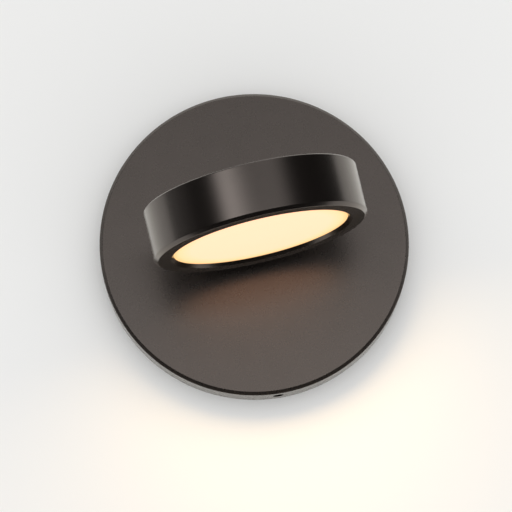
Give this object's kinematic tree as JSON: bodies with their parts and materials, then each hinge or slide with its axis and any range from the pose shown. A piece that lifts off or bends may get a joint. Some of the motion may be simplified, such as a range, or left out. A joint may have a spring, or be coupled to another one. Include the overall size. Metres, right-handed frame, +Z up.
{
  "type": "pivoting wall spotlight",
  "caption": "Round wall plate with a short hinged post that carries a flat round lamp head; the head swivels about the post and tilts to face the room.",
  "frame": {"origin": "on the wall plane, at the swivel axis in the middle of the cover plate and of the wall screws", "axes": "+Z up, +Y into the wall, +X to the right of someone who faces the light"},
  "size_m": [0.12, 0.101, 0.12],
  "materials": {
    "bronze_coat": "satin dark bronze coat",
    "dark_screws": "black oxide",
    "zinc_steel": "bright zinc plate",
    "brass": "turned",
    "aluminium": "mill finish",
    "black_rubber": "matte",
    "white_nylon": "moulded",
    "opal": "opal diffusing sheet, lit warm white",
    "clear_acrylic": "polished acrylic",
    "white_film": "white film",
    "led_phosphor": "phosphor over a white case",
    "green_board": "solder mask",
    "ferrite": "moulded black",
    "yellow_tape": "polyester tape",
    "fuse_ceramic": "plain",
    "black_sheath": "silicone sheath",
    "core_wires": "silicone insulation"
  },
  "bodies": {
    "wall_body": {"wall_bracket": "zinc_steel", "cover_plate": "bronze_coat", "cover_grub_screws": "dark_screws", "cable_grommet": "black_rubber", "terminal_block": "white_nylon", "terminal_inserts": "brass", "terminal_screws": "zinc_steel", "terminal_fixing_screw": "zinc_steel", "earth_washer": "zinc_steel", "earth_screw": "zinc_steel", "canopy_cable": "black_sheath", "canopy_cores": "core_wires", "stop_pin": "zinc_steel"},
    "swivel_post": {"pivot_post": "bronze_coat", "outer_friction_washer": "white_nylon", "inner_friction_washer": "white_nylon", "stop_washer": "zinc_steel", "swivel_spring_washer": "zinc_steel", "swivel_nut": "zinc_steel", "post_cable": "black_sheath", "hinge_spring_washers": "zinc_steel", "hinge_nuts": "zinc_steel"},
    "lamp_head": {"head_housing": "bronze_coat", "back_cover": "bronze_coat", "cover_pillars": "brass", "back_cover_screws": "dark_screws", "hinge_bracket": "zinc_steel", "hinge_bracket_screws": "zinc_steel", "hinge_friction_washers": "white_nylon", "diffuser": "opal", "light_guide": "clear_acrylic", "reflector_sheet": "white_film", "led_strip": "white_film", "led_chips": "led_phosphor", "chassis_plate": "aluminium", "retaining_ring": "zinc_steel", "driver_board": "green_board", "board_posts": "brass", "board_screws": "zinc_steel", "board_connector": "white_nylon", "transformer_core": "ferrite", "transformer_bobbin": "yellow_tape", "electrolytic_capacitor": "aluminium", "output_capacitor": "aluminium", "film_capacitor": "yellow_tape", "choke": "ferrite", "bridge_rectifier": "ferrite", "driver_chip": "ferrite", "fuse": "fuse_ceramic", "head_cable": "black_sheath", "cable_clamp": "white_nylon", "cable_clamp_screw": "zinc_steel", "led_leads": "core_wires"}
  },
  "joints": [
    {"name": "swivel", "type": "hinge", "parent": "wall_body", "child": "swivel_post", "pos_m": [0, -0.011, 0], "axis": [0, -1, 0], "range_deg": [-169, 161]},
    {"name": "tilt", "type": "hinge", "parent": "swivel_post", "child": "lamp_head", "pos_m": [0, -0.0285, 0], "axis": [-0.9732, 0, -0.23], "range_deg": [0, 90]}
  ]
}
